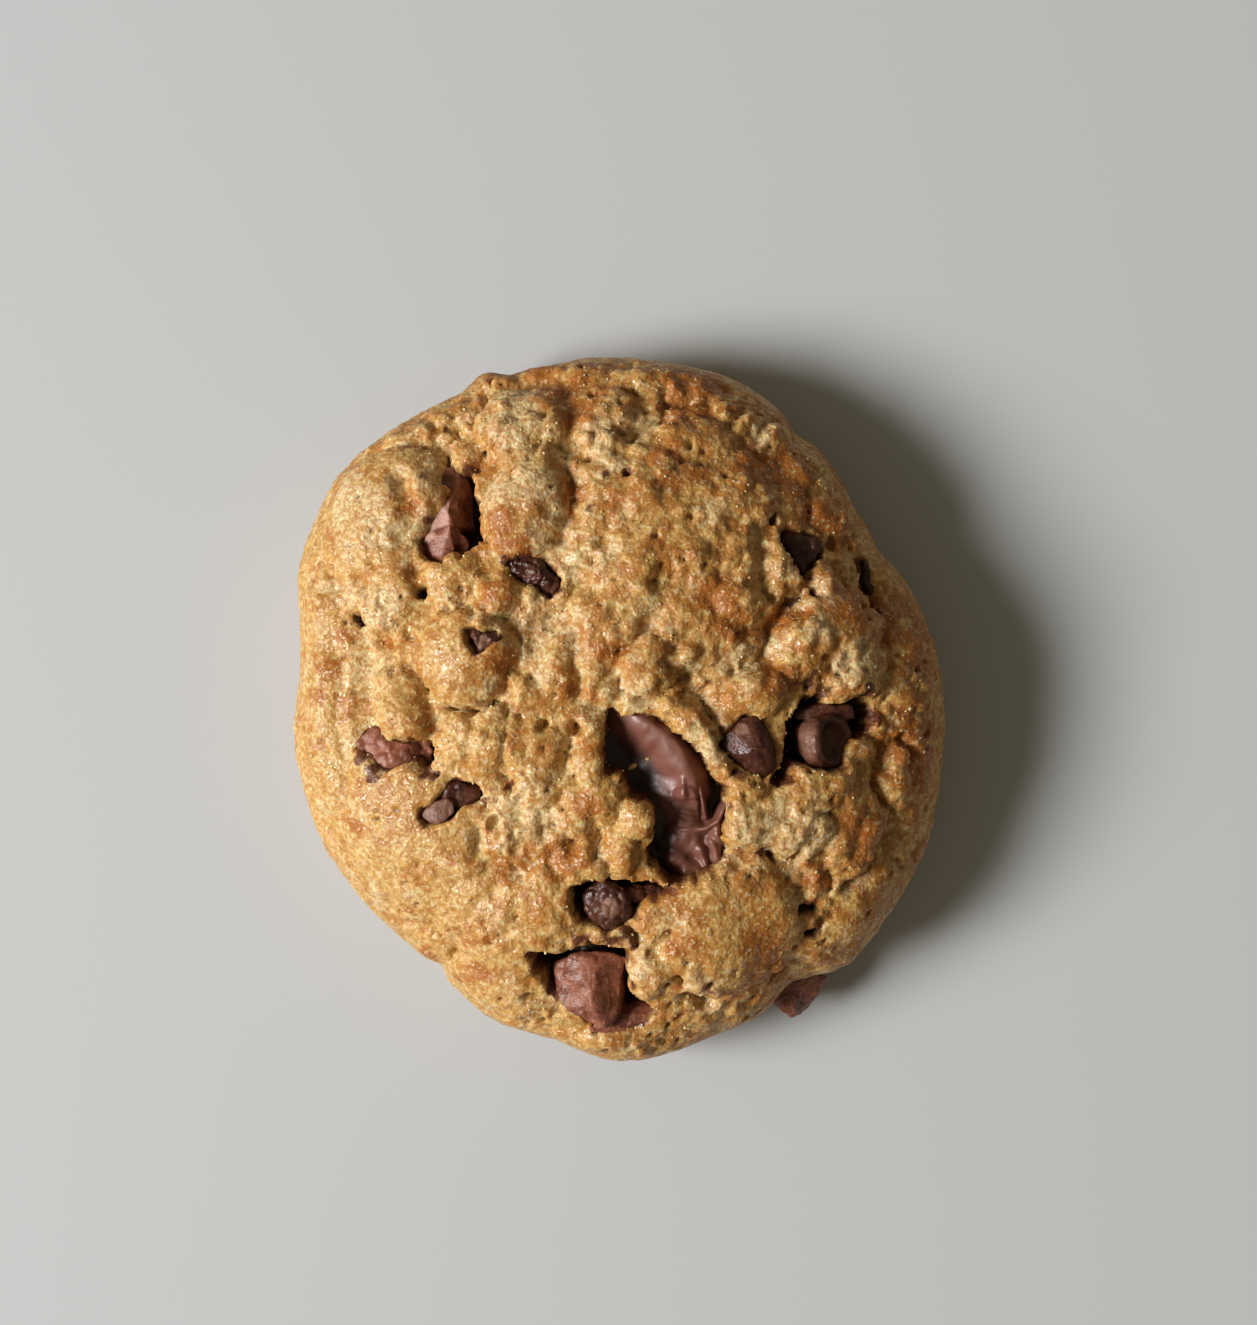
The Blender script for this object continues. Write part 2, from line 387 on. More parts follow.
def near_oval(points, x, y, half_length, half_width, turn):
    """1 at a place on the dome, falling to 0 at the edge of an oval turned on it."""
    offset = points - lift(x, y)
    heading = np.array([math.cos(math.radians(turn)), math.sin(math.radians(turn)), 0])
    upright = outward(lift(x, y)[None])[0]
    heading -= upright * (heading @ upright)
    along = offset @ (heading / np.linalg.norm(heading))
    across = np.sqrt(np.maximum((offset**2).sum(axis=1) - along**2, 0))
    return np.clip(1 - (along / half_length) ** 2 - (across / half_width) ** 2, 0, 1)


def smoothly(low, high, values):
    """0 below low, 1 above high, and a soft ramp between."""
    part = np.clip((values - low) / (high - low), 0, 1)
    return part * part * (3 - 2 * part)


def outline_distance(points, corners):
    """Signed distance in plan to a closed outline, below 0 inside it."""
    flat = points[:, :2]
    nearest = np.full(len(points), np.inf)
    inside = np.zeros(len(points), bool)
    for start, end in zip(corners, corners[1:] + corners[:1]):
        start, end = np.array(start), np.array(end)
        run = end - start
        part = np.clip((flat - start) @ run / (run @ run), 0, 1)
        nearest = np.minimum(nearest, np.linalg.norm(flat - start - part[:, None] * run, axis=1))
        crosses = (start[1] > flat[:, 1]) != (end[1] > flat[:, 1])
        edge_x = start[0] + run[0] * (flat[:, 1] - start[1]) / (run[1] or 1e-9)
        inside ^= crosses & (flat[:, 0] < edge_x)
    return np.where(inside, -nearest, nearest)


def run_on(shape, edges):
    """Runs a ring of faces on from these edges, and gives its new vertices and edges."""
    ring = bmesh.ops.extrude_edge_only(shape, edges=edges)["geom"]
    new_verts = [item for item in ring if isinstance(item, bmesh.types.BMVert)]
    return new_verts, [item for item in ring if isinstance(item, bmesh.types.BMEdge)]


def mesh_of(shape, name):
    """Makes a mesh of a shape that is done."""
    mesh = bpy.data.meshes.new(name)
    shape.to_mesh(mesh)
    shape.free()
    return mesh


# The grid of skin, drawn round over the dome and closed underneath by rings and a flat base.
BASE_RINGS = (0.985, 0.9)
skin = bmesh.new()
bmesh.ops.create_grid(skin, x_segments=SKIN_CELLS, y_segments=SKIN_CELLS, size=1.0)
grid = np.array([vert.co for vert in skin.verts])
for vert, place in zip(skin.verts, dome_points(grid[:, 0], grid[:, 1])):
    vert.co = place
base_edge = [edge for edge in skin.edges if edge.is_boundary]
for shrink in BASE_RINGS:
    inner, base_edge = run_on(skin, base_edge)
    bmesh.ops.scale(skin, vec=(shrink, shrink, 1), verts=inner)
bmesh.ops.contextual_create(skin, geom=base_edge)
bmesh.ops.recalc_face_normals(skin, faces=skin.faces)
dough_mesh = mesh_of(skin, "dough_skin")


def points_of(mesh):
    """The places of a mesh's vertices, as an array."""
    places = np.zeros(len(mesh.vertices) * 3)
    mesh.vertices.foreach_get("co", places)
    return places.reshape(-1, 3)


def place_points(mesh, places):
    """Moves a mesh's vertices to these places."""
    mesh.vertices.foreach_set("co", places.ravel())
    mesh.update()


def facing_of(mesh):
    """The directions that a mesh's skin faces at its vertices."""
    facing = np.zeros(len(mesh.vertices) * 3)
    mesh.vertices.foreach_get("normal", facing)
    return facing.reshape(-1, 3)


# First the lumps, furrows, holes and pockets, pushed in or out of the plain dome.  Lumps are
# steep at the foot and round on top, and where two meet they join in a narrow crease.  The
# skin is held at the table and free from 1 mm up.
LUMP_SHAPE = 0.62
LUMP_JOIN = 5
plain = points_of(dough_mesh)
free = smoothly(0.0, 1.0, plain[:, 2])
wander = strayed(plain, (0.8, 4.0), (0.45, 1.5))
lumps = np.zeros(len(plain))
for *oval, rise in DOUGH_LUMPS:
    lumps += (rise * near_oval(wander, *oval) ** LUMP_SHAPE) ** LUMP_JOIN
lumps = lumps ** (1 / LUMP_JOIN)

# The crumb billows in two sizes: height, size and pattern.  It is roughest where the dough
# is pale and torn, and calmer down the side than on top.
BILLOWS = [(1.15, 3.6, 0.0), (0.8, 1.8, 5.0)]
BILLOW_MIDDLE = 0.4
SIDE_ROUGHNESS = 0.25
SIDE_DEPTH = 6
SWELL, SWELL_SIZE = 0.35, 9.0
smooth_skin = smoothly(0.0, 0.6, nearness(wander, SMOOTH_SKIN))
pale = nearness(wander, PALE_CRUMB_PLACES) ** 0.7
rough = np.clip(0.62 + 0.45 * pale + 0.5 * noise_at(plain, 7.0, 3.0) - 0.6 * smooth_skin, 0.1, 1.1)
craggy = strayed(plain, (0.9, 2.6))
billows = sum(height * np.abs(noise_at(craggy, size, where)) for height, size, where in BILLOWS)
billows = billows - BILLOW_MIDDLE
on_top = smoothly(GIRTH_HEIGHT, GIRTH_HEIGHT + SIDE_DEPTH, plain[:, 2])
rim_calm = SIDE_ROUGHNESS + (1 - SIDE_ROUGHNESS) * on_top
level = (lumps + rough * billows) * rim_calm + SWELL * noise_at(plain, SWELL_SIZE)

# What is cut away.  A pocket's wall slopes in from its ragged edge, and the lumps above a
# pocket go with it.
HOLE_EDGE = (0.35, 1.2)
PIT_EDGE = (0.3, 1.1)
PIT_SHADE = 0.8
WALL_SLOPE = (-0.2, 0.6)
POCKET_CLEARANCE = 1.5
cut = np.zeros(len(plain))
torn = np.zeros(len(plain))
for depth, half_width, line in DOUGH_FURROWS:
    away = distance_to_line(wander, line) / half_width
    cut = np.maximum(cut, depth * np.clip(1 - away, 0, 1) ** 0.8)
    torn = np.maximum(torn, 1 - smoothly(0.6, 2.0, away))
pits = np.zeros(len(plain))
for x, y, radius, depth in DOUGH_HOLES:
    away = np.linalg.norm(wander - lift(x, y), axis=1) / radius
    cut = np.maximum(cut, depth * (1 - smoothly(*HOLE_EDGE, away)))
    pits = np.maximum(pits, PIT_SHADE * (1 - smoothly(*PIT_EDGE, away)) * (depth >= PIT_DEPTH))
pocket_edge = np.full(len(plain), np.inf)
pocket = np.zeros(len(plain))
ragged = strayed(plain, (0.3, 1.0), (0.3, 3.0))
for depth, outline in POCKETS.values():
    away = np.where(plain[:, 2] > GIRTH_HEIGHT, outline_distance(ragged, outline), np.inf)
    pocket_edge = np.minimum(pocket_edge, away)
    pocket = np.maximum(pocket, (depth + POCKET_CLEARANCE) * smoothly(*WALL_SLOPE, -away))
flattened = level * smoothly(*WALL_SLOPE, -pocket_edge)
sunk = np.maximum(cut, np.where(pocket > 0, np.maximum(pocket, flattened), 0))
uncut = plain + outward(plain) * (level * free)[:, None]
first = plain + outward(plain) * ((level - sunk) * free)[:, None]
place_points(dough_mesh, first)

# Then the fine relief, along the way that the lumpy skin now faces: nubs and grains of crumb
# stand out, pores go in, and ripples run over all.
NUB_SIZE, NUB_REACH, NUB_HEIGHT = 2.3, 1.4, 0.26
GRAIN_SIZE, GRAIN_REACH, GRAIN_HEIGHT = 0.85, 0.5, 0.15
PORE_SPACING, PORE_RADIUS, PORE_DEPTH, PORE_RARITY = 1.7, 0.5, 0.9, 0.35
RIPPLE_SIZE, RIPPLE_HEIGHT = 0.8, 0.10
crumbly = np.clip(rough + 0.4 * torn, 0.2, 1.1)
near_nub, _ = cells_at(strayed(first, (0.4, 1.6)), NUB_SIZE)
nubs = NUB_HEIGHT * (1 - (near_nub / NUB_REACH) ** 2)
near_grain, _ = cells_at(first, GRAIN_SIZE)
grains = GRAIN_HEIGHT * (1 - (near_grain / GRAIN_REACH) ** 2)
near_pore, pore_chance = cells_at(first, PORE_SPACING)
pores = PORE_DEPTH * np.clip(1 - near_pore / PORE_RADIUS, 0, 1) * (pore_chance > PORE_RARITY)
ripples = RIPPLE_HEIGHT * noise_at(first, RIPPLE_SIZE)
in_pocket = smoothly(0.1, 0.9, -pocket_edge)
fine = ((nubs + grains) * crumbly * rim_calm - pores + ripples * rim_calm) * (1 - 0.7 * in_pocket)
second = first + facing_of(dough_mesh) * (fine * free)[:, None]

# The whole is brought to the size of the frame's dough.
lowest, highest = second.min(axis=0), second.max(axis=0)
low, high = np.array(low_corner) / MM, np.array(high_corner) / MM
second = low + (second - lowest) * (high - low) / (highest - lowest)
uncut = low + (uncut - lowest) * (high - low) / (highest - lowest)
place_points(dough_mesh, second * MM)
dough_mesh.shade_smooth()

# The chocolate is seated by the height of the dough's skin before it was cut, which is found
# from the nearest points of the skin above the girth.
SKIN_SAMPLES = 50
skin_tree = kdtree.KDTree(len(uncut))
for number, (x, y, z) in enumerate(uncut):
    skin_tree.insert((x, y, 0 if z > GIRTH_HEIGHT else -HEIGHT), number)
skin_tree.balance()


def skin_height(x, y):
    """The height of the uncut dough above x, y."""
    found = skin_tree.find_n((x, y, 0), SKIN_SAMPLES)
    return sum(uncut[number][2] for _, number, _ in found) / len(found)


def give_skin(mesh, name, values):
    """Keeps a number from 0 to 1 for each point of the skin, for its finish to read."""
    layer = mesh.attributes.new(name, "FLOAT", "POINT")
    layer.data.foreach_set("value", np.clip(values, 0, 1).astype(np.float32))


# Where the skin is browned, toasted, torn and moist, deep, smeared or in a pocket.  The left
# flank is paler, the tops of the billows are browner and the finest crests are paler.
SMEAR_SPREAD = 1.15
brown = nearness(wander, BROWN_PLACES) ** 0.7
flank = smoothly(4, 34, -plain[:, 0] - 0.35 * plain[:, 1])
tops = smoothly(-0.3, 0.5, billows) - 0.5
crests = smoothly(-0.1, 0.4, fine)
melted_edge = (1 - smoothly(0.0, 0.8, np.abs(pocket_edge + 0.15))) * (noise_at(plain, 1.3, 9.0) + 0.55)
spots = nearness(wander, SMEARS, SMEAR_SPREAD)
melted_spots = (0.75 * spots**0.6 + 0.8 * noise_at(plain, 0.9, 4.0)) * (spots > 0)
give_skin(dough_mesh, "browned", 0.6 - 0.3 * flank + 0.25 * tops + 0.35 * brown - 0.4 * crests)
give_skin(dough_mesh, "toasted", brown)
give_skin(dough_mesh, "torn", np.maximum(pale, 0.7 * torn) + 0.25 * flank + 0.25 * crests - 0.6 * brown)
give_skin(dough_mesh, "deep", np.maximum(smoothly(1.2, 2.6, sunk), 1.3 * pores))
give_skin(dough_mesh, "smear", np.maximum(melted_edge, melted_spots))
give_skin(dough_mesh, "pocket", np.maximum(in_pocket, pits))


class Value:
    """A number in a node tree, worked on with plain arithmetic: each sign adds a Math node."""

    def __init__(self, nodes, socket):
        self.nodes = nodes
        self.socket = socket

    def _math(self, operation, first, second):
        return self.nodes.add("ShaderNodeMath", {"operation": operation}, {0: first, 1: second})

    def __add__(self, other):
        return self._math("ADD", self, other)

    def __sub__(self, other):
        return self._math("SUBTRACT", self, other)

    def __rsub__(self, other):
        return self._math("SUBTRACT", other, self)

    def __mul__(self, other):
        return self._math("MULTIPLY", self, other)

    __radd__ = __add__
    __rmul__ = __mul__


class Nodes:
    """A node tree, with one way to add its nodes and link them."""

    def __init__(self, tree):
        self.tree = tree

    def add(self, kind, settings=None, inputs=None, output=0):
        """Adds a node: its settings first, then the values or links of its sockets."""
        node = self.tree.nodes.new(kind)
        for setting, value in (settings or {}).items():
            setattr(node, setting, value)
        for socket, value in (inputs or {}).items():
            self.link(node.inputs[socket], value)
        return Value(self, node.outputs[output])

    def link(self, socket, value):
        """Feeds a socket from another node's value, or sets it."""
        if isinstance(value, Value):
            self.tree.links.new(value.socket, socket)
        elif socket.type == "RGBA":
            socket.default_value = (*value, 1)
        else:
            socket.default_value = value


class Finish(Nodes):
    """A material on one Principled shader, placed by the object's own coordinates."""

    def __init__(self, name, constants):
        self.material = bpy.data.materials.new(name)
        self.material.use_nodes = True
        super().__init__(self.material.node_tree)
        self.shader = self.tree.nodes["Principled BSDF"]
        self.feed(constants)
        self.places = self.add("ShaderNodeTexCoord", output="Object")

    def feed(self, inputs):
        """Feeds or sets the shader's own sockets."""
        for socket, value in inputs.items():
            self.link(self.shader.inputs[socket], value)

    def grain(self, size, detail=2.0, roughness=0.5, distortion=0.0):
        """Noise from 0 to 1 over the piece, in grains of this size in mm."""
        inputs = {"Vector": self.places, "Scale": 1 / (size * MM)}
        inputs |= {"Detail": detail, "Roughness": roughness, "Distortion": distortion}
        return self.add("ShaderNodeTexNoise", {"noise_dimensions": "3D"}, inputs)

    def pebbles(self, size, output):
        """Pebbles of this size in mm: the distance from their middles, or a chance colour each."""
        inputs = {"Vector": self.places, "Scale": 1 / (size * MM)}
        return self.add("ShaderNodeTexVoronoi", None, inputs, output)

    def ramp(self, value, low, high):
        """0 where the value is below low, 1 where it is above high."""
        settings = {"interpolation_type": "SMOOTHSTEP", "clamp": True}
        return self.add("ShaderNodeMapRange", settings, {"Value": value, "From Min": low, "From Max": high})

    def kept(self, name):
        """The number that the skin keeps under this name."""
        return self.add("ShaderNodeAttribute", {"attribute_name": name}, output="Fac")

    def blend(self, mask, first, second):
        """A colour that goes from the first to the second as the mask goes from 0 to 1."""
        inputs = {"Factor": mask, 6: first, 7: second}
        return self.add("ShaderNodeMix", {"data_type": "RGBA"}, inputs, 2)

    def bump(self, height, depth, strength=1.0):
        """A normal that shows the height, 0 to 1, as relief this deep in mm."""
        inputs = {"Height": height, "Distance": depth * MM, "Strength": strength}
        return self.add("ShaderNodeBump", None, inputs)


def show(name, mesh, finish, node):
    """Puts a finished mesh in the scene, in place of its frame piece where it has one."""
    mesh.materials.clear()
    mesh.materials.append(finish.material)
    piece = bpy.data.objects.new(name, mesh)
    bpy.context.scene.collection.objects.link(piece)
    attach(piece, "root")
    if node:
        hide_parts(node)


# Golden crust in uneven patches, brown to toasted, with cream crumb where it tore and in
# specks all over, fine brown specks, tiny moist glints, and melted chocolate in the pockets.
CREAM = (0.74, 0.605, 0.37)
GOLDEN = (0.61, 0.392, 0.145)
BROWN = (0.45, 0.208, 0.052)
TOASTED = (0.38, 0.128, 0.022)
DEEP_BROWN = (0.12, 0.032, 0.008)
SMEARED = (0.13, 0.040, 0.020)
POCKET_DARK = (0.040, 0.012, 0.007)

baked = Finish("baked_dough", {
    "Specular IOR Level": 0.5,
    "Subsurface Weight": 0.6,
    "Subsurface Radius": (1.0, 0.42, 0.15),
    "Subsurface Scale": 1.2 * MM,
})
mottle = baked.grain(1.7, detail=3, roughness=0.6)
patch = baked.grain(5, distortion=0.6)
cloud = baked.grain(3.2, detail=3, roughness=0.6, distortion=0.4)
speck = baked.grain(0.65, detail=1.5, roughness=0.65)
dust = baked.grain(0.35, detail=0)
glint = baked.pebbles(0.30, "Color")
pin = baked.ramp(baked.grain(1.1, roughness=0.6), 0.30, 0.25)
pebble = baked.pebbles(0.48, "Distance")
tone = baked.kept("browned") + (mottle - 0.5) * 2.6 + (patch - 0.5) * 1.6
colour = baked.blend(baked.ramp(tone, 0.15, 0.80), GOLDEN, BROWN)
colour = baked.blend(baked.ramp(tone + baked.kept("toasted") * 0.8, 0.90, 1.40) * 0.8, colour, TOASTED)
pale_mask = baked.ramp(baked.kept("torn") * 0.7 + (cloud - 0.5) * 2.6, 0.15, 0.85)
colour = baked.blend(pale_mask * 0.65, colour, CREAM)
grainy = speck - pebble * 0.3
colour = baked.blend(baked.ramp(grainy, 0.42, 0.56) * 0.6, colour, CREAM)
colour = baked.blend(baked.ramp(grainy, 0.38, 0.24) * 0.6, colour, BROWN)
colour = baked.blend(baked.ramp(dust, 0.62, 0.74) * 0.25, colour, TOASTED)
deep_mask = baked.ramp(baked.kept("deep") + (mottle - 0.5) * 0.5, 0.25, 0.9)
colour = baked.blend(deep_mask * 0.85, colour, DEEP_BROWN)
colour = baked.blend(pin * 0.45, colour, DEEP_BROWN)
smear_mask = baked.ramp(baked.kept("smear") + (mottle - 0.5) * 0.8, 0.3, 0.75)
colour = baked.blend(smear_mask * 0.92, colour, SMEARED)
colour = baked.blend(baked.ramp(baked.kept("pocket"), 0.0, 0.4) * 0.97, colour, POCKET_DARK)
relief = speck * 0.8 - pebble * 0.3 + dust * 0.1 - pin * 0.3
baked.feed({
    "Base Color": colour,
    "Roughness": 0.50 - 0.26 * baked.ramp(glint, 0.66, 0.74),
    "Normal": baked.bump(relief, 0.36, 0.7),
})
show("dough_baked", dough_mesh, baked, "dough")


# ------------------------------------------------------------- the loose crumbs of dough
# Small hard crumbs and grains of sugar that stand on the skin, most of them where the dough
# tore and round the pockets.  Each is baked fast to the dough.

CRUMB_COUNT = 800
CRUMB_RADII = (0.09, 0.22)
CRUMB_SINK = 0.2
CRUMB_SEED = 4
CRUMBS_ABOVE = GIRTH_HEIGHT + 5
BATCH = 100


def add_part(shape, part):
    """Adds a part that is done to a shape."""
    mesh = mesh_of(part, "part")
    shape.from_mesh(mesh)
    bpy.data.meshes.remove(mesh)


crumb_chance = random.Random(CRUMB_SEED)
round_pockets = np.abs(pocket_edge - 0.2) < 0.5
weights = np.clip(crumbly + torn + 1.2 * round_pockets, 0, 3) * (1 - in_pocket)
weights = weights * (second[:, 2] > CRUMBS_ABOVE) * (1 - smooth_skin)
landings = crumb_chance.choices(range(len(second)), weights=weights.tolist(), k=CRUMB_COUNT)
skin_facing = facing_of(dough_mesh)
crumbs = bmesh.new()
for start in range(0, CRUMB_COUNT, BATCH):
    batch = bmesh.new()
    for spot in landings[start:start + BATCH]:
        radius = crumb_chance.uniform(*CRUMB_RADII)
        squash = Vector([crumb_chance.uniform(0.7, 1.3) for _ in range(3)])
        turn = Euler([crumb_chance.uniform(0, math.tau) for _ in range(3)])
        place = Vector(second[spot] - skin_facing[spot] * CRUMB_SINK * radius) * MM
        shape = Matrix.LocRotScale(place, turn, squash)
        bmesh.ops.create_icosphere(batch, subdivisions=1, radius=radius * MM, matrix=shape)
    add_part(crumbs, batch)
crumb_mesh = mesh_of(crumbs, "dough_crumbs")
crumb_finish = Finish("crumb_grain", {"Specular IOR Level": 0.4, "Roughness": 0.5})
crumb_tone = crumb_finish.grain(1.4, detail=1)
crumb_colour = crumb_finish.blend(crumb_finish.ramp(crumb_tone, 0.35, 0.65), GOLDEN, CREAM)
crumb_finish.feed({"Base Color": crumb_colour})
show("dough_crumbs", crumb_mesh, crumb_finish, None)


# ------------------------------------------------------------- the chocolate
# Chunks and drops of milk and dark chocolate, stirred into the dough before baking.  Each is
# a skin stretched over a few balls, remade in even cells, bent a little and then roughened.


def ball_points(x, y, z, radius):
    """Points all round a small ball."""
    ball = bmesh.new()
    bmesh.ops.create_icosphere(ball, subdivisions=2, radius=radius)
    points = [Vector((x, y, z)) + vert.co for vert in ball.verts]
    ball.free()
    return points


def hull_of_balls(shape, balls):
    """Adds a solid with rounded corners: the skin stretched over some balls."""
    fresh = bmesh.new()
    for ball in balls:
        for point in ball_points(*ball):
            fresh.verts.new(point)
    hull = bmesh.ops.convex_hull(fresh, input=fresh.verts)
    waste = [item for item in hull["geom_interior"] if isinstance(item, bmesh.types.BMVert)]
    bmesh.ops.delete(fresh, geom=waste, context="VERTS")
    add_part(shape, fresh)


def even_skin(shape, cell):
    """Joins the solids of a shape under one skin of even cells, sized in mm."""
    rough_mesh = mesh_of(shape, "rough")
    holder = bpy.data.objects.new("holder", rough_mesh)
    bpy.context.scene.collection.objects.link(holder)
    remesh = holder.modifiers.new("even_skin", "REMESH")
    remesh.mode = "VOXEL"
    remesh.voxel_size = cell
    finished = holder.evaluated_get(bpy.context.evaluated_depsgraph_get())
    mesh = bpy.data.meshes.new_from_object(finished)
    bpy.data.objects.remove(holder)
    bpy.data.meshes.remove(rough_mesh)
    return mesh


# How far and in what swirls a piece is bent.
CHOCOLATE_BENDS = [(0.4, 2.6), (0.12, 1.0)]


def roughen(mesh, relief):
    """Bends a chocolate piece slightly and gives it its fine relief."""
    places = points_of(mesh)
    bent = strayed(places, *CHOCOLATE_BENDS)
    place_points(mesh, (bent + facing_of(mesh) * relief(places)[:, None]) * MM)
    mesh.shade_smooth()


def chocolate_piece(node, cell, relief, finish, *hulls, bloom=(), ground=None):
    """Makes a piece from hulls of balls: x, y, height above the dough or the ground, radius."""
    shape = bmesh.new()
    for balls in hulls:
        middle_x = sum(ball[0] for ball in balls) / len(balls)
        middle_y = sum(ball[1] for ball in balls) / len(balls)
        level = skin_height(middle_x, middle_y) if ground is None else ground
        hull_of_balls(shape, [(x, y, level + rise - radius, radius) for x, y, rise, radius in balls])
    mesh = even_skin(shape, cell)
    bloomed = np.zeros(len(mesh.vertices))
    places = points_of(mesh)
    for x, y, radius in bloom:
        away = np.hypot(places[:, 0] - x, places[:, 1] - y) / radius
        bloomed = np.maximum(bloomed, 1 - smoothly(0.7, 1.0, away))
    roughen(mesh, relief)
    give_skin(mesh, "bloom", bloomed)
    show(node + "_real", mesh, finish, node)


def chocolate_finish(name, roughness, dark, light, bloom):
    """Chocolate with a cloudy tone, a patchy bloom and a fine grain."""
    finish = Finish(name, {"Specular IOR Level": 0.5})
    cloud = finish.grain(2.2, detail=3, roughness=0.6)
    fine_grain = finish.grain(0.4, roughness=0.6)
    tone = finish.blend(finish.ramp(cloud, 0.35, 0.65), dark, light)
    tone = finish.blend(finish.ramp(fine_grain, 0.52, 0.72) * 0.4, tone, bloom)
    tone = finish.blend(finish.kept("bloom") * (0.7 + 0.3 * fine_grain), tone, bloom)
    finish.feed({
        "Base Color": tone,
        "Roughness": roughness + 0.12 * finish.ramp(cloud, 0.3, 0.7) + 0.12 * finish.kept("bloom"),
        "Normal": finish.bump(fine_grain, 0.2, 0.5),
    })
    return finish


def sugary(depth, size):
    """Relief of crystals this deep and this big."""
    def relief(places):
        near_crystal, _ = cells_at(places, size)
        return depth * (0.6 - (near_crystal / size) ** 2 * 1.6) + 0.3 * depth * noise_at(places, size * 2)
    return relief


def broken(depth, size):
    """Relief of a broken face, with long uneven steps."""
    def relief(places):
        _, chance = cells_at(strayed(places, (0.3, 1.0)), size)
        return depth * (0.6 * (chance - 0.5) + noise_at(places, size) + 0.4 * noise_at(places, size / 3))
    return relief


milk = chocolate_finish(
    "milk_chocolate", roughness=0.36,
    dark=(0.16, 0.053, 0.030), light=(0.31, 0.118, 0.068), bloom=(0.50, 0.29, 0.22),
)
dark = chocolate_finish(
    "dark_chocolate", roughness=0.32,
    dark=(0.050, 0.016, 0.010), light=(0.12, 0.042, 0.025), bloom=(0.25, 0.125, 0.085),
)

chocolate_piece(
    "chunk_bottom", 0.16, broken(0.11, 2.0), milk,
    [
        (-7, -28.7, -1.6, 0.5), (-5.6, -28, -0.8, 0.4), (-3.6, -28.2, -0.2, 0.4), (-3.4, -31, 0.3, 0.5),
        (-2.6, -33.4, 0.2, 0.5), (-1.6, -35.6, -0.8, 0.4), (-4.6, -34.2, -1.2, 0.5),
        (-6.9, -31.8, -1.7, 0.5), (-7.4, -29, -6, 0.5), (-6.4, -32.4, -6, 0.5), (-1.4, -35, -6, 0.5),
        (-3, -28.2, -6, 0.5), (-1, -30.5, -0.9, 0.5), (-0.6, -33.4, -0.9, 0.5), (0.2, -31, -5, 0.5),
        (0.2, -34.5, -5, 0.5), (-1.6, -27.4, -0.5, 0.4), (0.4, -28, -1.1, 0.3),
    ],
    [
        (-3, -36.1, -0.6, 0.4), (0.3, -36.1, -0.5, 0.4), (4.3, -34.5, -0.9, 0.35), (2.6, -33, -2.2, 0.4),
        (0.6, -34, -1.5, 0.4), (-1.8, -34.6, -0.7, 0.4), (0.5, -35, -5, 0.5),
    ],
)
chocolate_piece(
    "chunk_upper_left", 0.15, broken(0.07, 1.3), milk,
    [
        (-19.9, 23.6, -0.9, 0.25), (-19.2, 22.2, -0.4, 0.2), (-19.1, 20.6, -0.3, 0.2),
        (-23.2, 19.2, -2.4, 0.25), (-21.8, 18.3, -1.9, 0.3), (-21.3, 22, -2.1, 0.3), (-17, 24.6, -3, 0.3),
        (-16.6, 20.4, -3.4, 0.3), (-19.4, 25.6, -2.8, 0.3), (-17.6, 27.2, -2.6, 0.3),
        (-20.8, 26.6, -3.6, 0.3), (-22.5, 18.5, -7, 0.3), (-17, 19.5, -7, 0.3), (-17.5, 26.5, -7, 0.3),
        (-21.5, 24.5, -7, 0.3),
    ],
    [
        (-19, 20.6, -0.5, 0.2), (-18.6, 18.2, -0.9, 0.3), (-19.6, 16.2, -1.4, 0.3),
        (-21.6, 16.8, -2.2, 0.3), (-22, 18.6, -2.3, 0.3), (-20.5, 20, -1.4, 0.2), (-19.8, 18, -6, 0.4),
    ],
    [
        (-18.6, 20.4, -1.4, 0.3), (-17, 18.8, -2.1, 0.4), (-17.6, 17.8, -2.4, 0.4),
        (-18.6, 18.6, -1.7, 0.4), (-18, 19, -5, 0.5),
    ],
    bloom=[(-20.4, 21.8, 1.5), (-21.6, 20, 1.3), (-19.6, 23, 0.8)],
)
chocolate_piece(
    "chunk_left", 0.15, sugary(0.22, 1.1), milk,
    [
        (-29, -3.8, -3, 0.4), (-27, -6.4, -2.2, 0.5), (-25, -5.8, -1.5, 0.7), (-23.4, -5.2, -1.6, 0.5),
        (-21.2, -4.6, -2.2, 0.4), (-23, -3, -2.2, 0.6), (-27.5, -2.2, -2.8, 0.5), (-26, -3.5, -5, 0.5),
        (-22, -3.8, -5, 0.5),
    ],
    [(-22.6, -5.6, -2.6, 0.5), (-21.2, -6.4, -2.5, 0.5), (-21.6, -4.6, -2.7, 0.5), (-22, -5.4, -5, 0.5)],
)
chocolate_piece(
    "chip_teardrop", 0.13, sugary(0.05, 0.9), dark,
    [
        (11.3, -3.7, 0, 0.7), (13.1, -2.8, 0.9, 1.3), (14.4, -1.7, 1.1, 1.4), (15.2, -4.2, 1.7, 2.2),
        (16, -6, 0.7, 1.5), (14.3, -5.4, 0.6, 1.2), (14.5, -4.2, -3, 2),
    ],
    bloom=[(13.6, -1.9, 0.8)],
)
chocolate_piece(
    "chip_bottom", 0.13, sugary(0.26, 0.9), dark,
    [
        (-3.3, -20.6, -0.2, 1), (-1.6, -20, 0.2, 1), (0.2, -20.7, 0.3, 1.2), (0.5, -22.2, 0.1, 1),
        (-1.4, -23.5, -0.2, 1.1), (-2.6, -22.4, 0, 1), (-1.2, -21.5, -3.2, 1.4),
    ],
    [(1.9, -20.4, -0.9, 1.1), (0.5, -20.6, -1, 1.2), (4.4, -20, -1.6, 0.6)],
    bloom=[(-1.2, -21.9, 1.2)],
)
